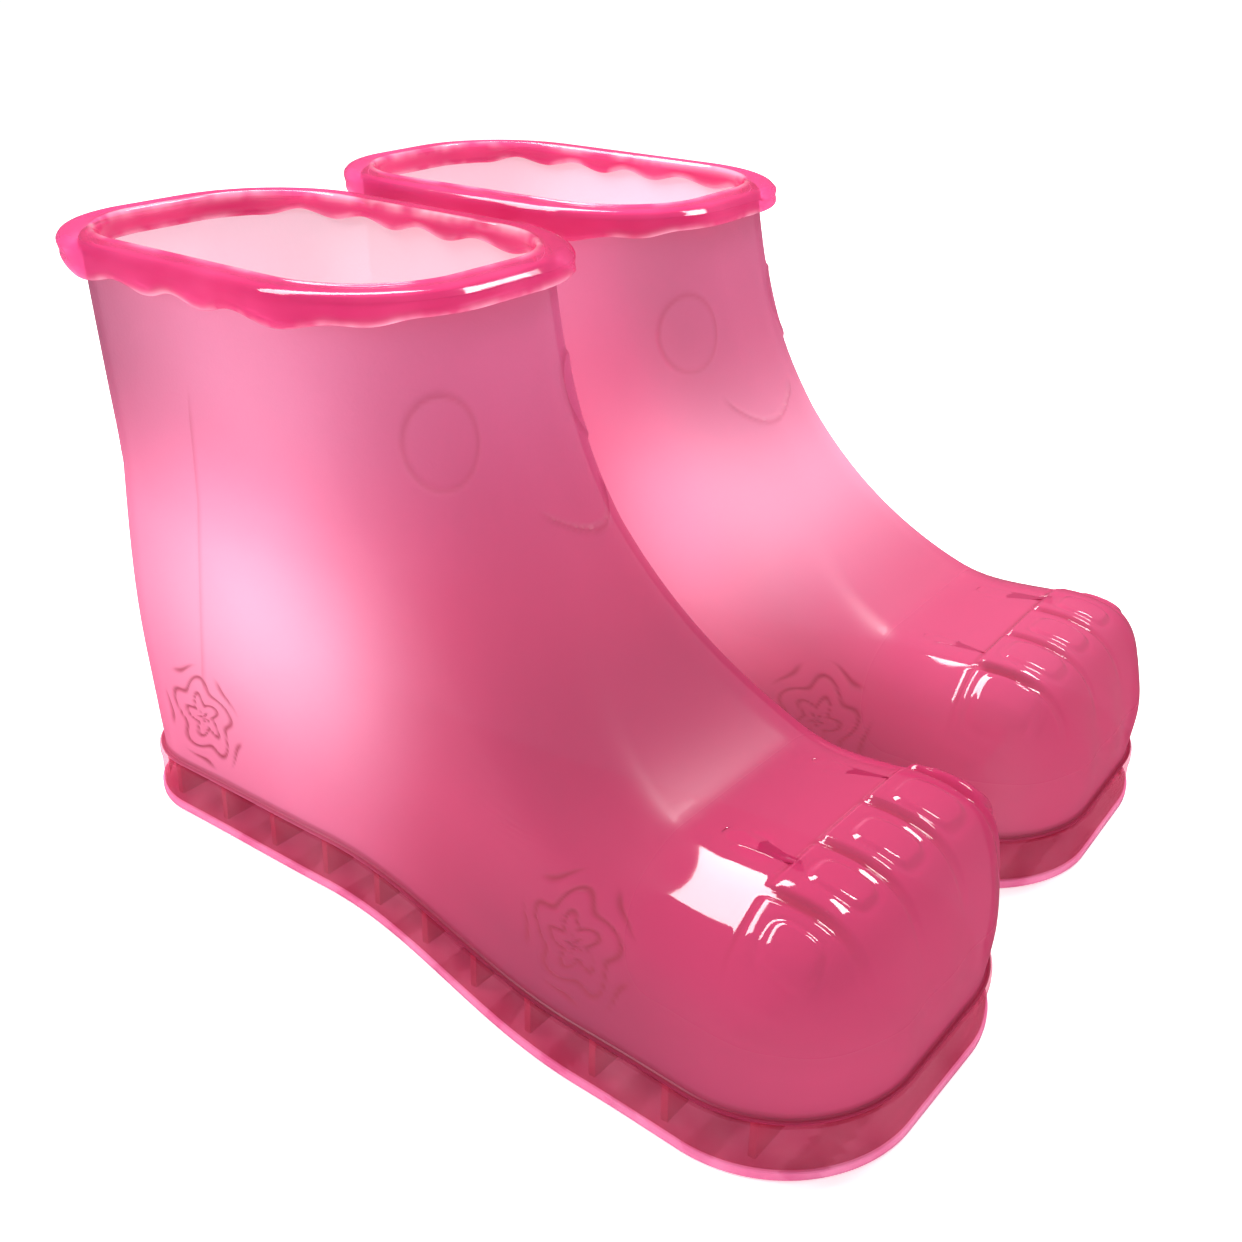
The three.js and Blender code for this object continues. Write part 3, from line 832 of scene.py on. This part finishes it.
def clear_material(name, first, second, tint, share):
    """See-through tinted plastic with uneven colour; its ribs are more solid and brighter."""
    material, tree, output = new_material(name)
    cloud = spread(tree, noise(tree, 45, 3), 0.35, 0.65, 0, 1)
    uneven = mixed(tree, cloud, linear(*first), linear(*second))
    solid = attribute(tree, "solid")
    colour = mixed(tree, solid, uneven, linear(244, 110, 146))
    clear = spread(tree, solid, 0, 1, share, 0.1)
    normal = bumped(tree, noise(tree, 120, 2), 0.1, 0.001).outputs["Normal"]
    surface = add_node(tree, "BsdfPrincipled", {
        "Base Color": colour, "Roughness": 0.12, "IOR": 1.45, "Normal": normal,
    })
    window = add_node(tree, "BsdfTransparent", {"Color": linear(*tint)})
    mix = add_node(tree, "MixShader", {0: clear, 1: surface.outputs[0], 2: window.outputs[0]})
    tree.links.new(mix.outputs[0], output.inputs["Surface"])
    return material


def floor_material():
    """Satin moulded plastic of the footbed."""
    material, tree, output = new_material("footbed_plastic")
    cloud = spread(tree, noise(tree, 25, 3), 0.3, 0.7, 0, 1)
    colour = mixed(tree, cloud, linear(226, 96, 136), linear(204, 66, 108))
    normal = bumped(tree, noise(tree, 600, 2), 0.15, 0.0004).outputs["Normal"]
    surface = add_node(tree, "BsdfPrincipled", {
        "Base Color": colour, "Roughness": 0.35, "Normal": normal,
    })
    tree.links.new(surface.outputs[0], output.inputs["Surface"])
    return material


def ground_material():
    """Plain white backdrop."""
    material, tree, output = new_material("ground")
    shade = spread(tree, noise(tree, 2, 2), 0.3, 0.7, 0, 1)
    colour = mixed(tree, shade, (0.97, 0.97, 0.97, 1), (1, 1, 1, 1))
    surface = add_node(tree, "BsdfPrincipled", {"Base Color": colour, "Roughness": 0.9})
    surface.inputs["Specular IOR Level"].default_value = 0
    surface.inputs["Emission Color"].default_value = (1, 1, 1, 1)
    surface.inputs["Emission Strength"].default_value = 0.4
    tree.links.new(surface.outputs[0], output.inputs["Surface"])
    return material


# ---- The boots -------------------------------------------------------------------------------

PIECES = [
    (make_tub, "upper_shell", "clear_pink_tub", tub_material()),
    (make_collar, "rim_collar", "hot_pink_collar", collar_material()),
    (make_footbed, "footbed", "pink_footbed", floor_material()),
    (make_sole, "sole_frame", "clear_sole",
     clear_material("sole_plastic", (206, 130, 156), (172, 84, 116), (244, 206, 216), 0.8)),
    (make_tread, "outsole", "pink_outsole",
     clear_material("tread_plastic", (255, 150, 196), (244, 116, 170), (255, 200, 224), 0.3)),
]

for boot_side in ("right", "left"):
    for make, node, slot_name, plastic in PIECES:
        piece = make(boot_side)
        piece.data.materials.append(plastic)
        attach(piece, f"{boot_side}_boot")
        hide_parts(f"{boot_side}_{node}")


# ---- Stage, light and camera -----------------------------------------------------------------

def add_ground():
    """Wide white floor, kept out of reflections."""
    mesh = bpy.data.meshes.new("ground")
    reach = 30
    corners = [(-reach, -reach, 0), (reach, -reach, 0), (reach, reach, 0), (-reach, reach, 0)]
    mesh.from_pydata(corners, [], [(0, 1, 2, 3)])
    ground = bpy.data.objects.new("ground", mesh)
    ground.data.materials.append(ground_material())
    ground.visible_glossy = False
    bpy.context.scene.collection.objects.link(ground)


def add_softbox(name, target, direction, distance, size, power, is_mirrored=True):
    """Rectangular area light that shines on the target from a direction."""
    data = bpy.data.lights.new(name, "AREA")
    data.shape = "RECTANGLE"
    data.size, data.size_y = size
    data.energy = power
    lamp = bpy.data.objects.new(name, data)
    way = Vector(direction).normalized()
    lamp.location = Vector(target) + way * distance
    lamp.rotation_euler = way.to_track_quat("Z", "Y").to_euler()
    lamp.visible_glossy = is_mirrored
    bpy.context.scene.collection.objects.link(lamp)


WORLD_LIGHT = 0.66
MIRRORED_WORLD = 0.16            # the studio round the boots is darker than its lamps


def add_world():
    """Even white studio that shows darker in reflections."""
    world = bpy.data.worlds.new("studio")
    world.use_nodes = True
    tree = world.node_tree
    path = tree.nodes.new("ShaderNodeLightPath").outputs
    cast = spread(tree, path["Is Glossy Ray"], 0, 1, WORLD_LIGHT, MIRRORED_WORLD)
    strength = spread(tree, path["Is Camera Ray"], 0, 1, cast, 1)
    tree.links.new(strength, tree.nodes["Background"].inputs["Strength"])
    tree.nodes["Background"].inputs["Color"].default_value = (1, 1, 1, 1)
    bpy.context.scene.world = world


def add_camera():
    """Camera that sees the pair from in front of the toes, on the right boot's outer side."""
    data = bpy.data.cameras.new("camera")
    data.lens = 44.27
    data.sensor_width = 36
    data.shift_x = 0.0003
    data.shift_y = 0.0022
    camera = bpy.data.objects.new("camera", data)
    right = Vector((0.7995, 0.6004, 0.0191))
    up = Vector((-0.2786, 0.3425, 0.8973))
    ahead = Vector((-0.5321, 0.7227, -0.4411))
    turn = Matrix((right, up, -ahead)).transposed().to_4x4()
    camera.matrix_world = Matrix.Translation((0.2827, -0.3901, 0.3013)) @ turn
    bpy.context.scene.collection.objects.link(camera)
    bpy.context.scene.camera = camera


add_ground()
add_world()
add_softbox("window_light", (0.12, -0.11, 0.07), (-0.58, 0.05, 0.81), 1.3, (1.4, 0.32), 23)
add_softbox("back_light", (0.14, -0.1, 0.07), (0.08, 0.62, 0.78), 1.2, (0.35, 0.25), 6)
add_softbox("far_light", (0.0, 0.07, 0.1), (-0.35, 0.9, 0.35), 1.2, (0.9, 0.6), 7, False)
add_camera()
bpy.context.scene.view_settings.view_transform = "Standard"
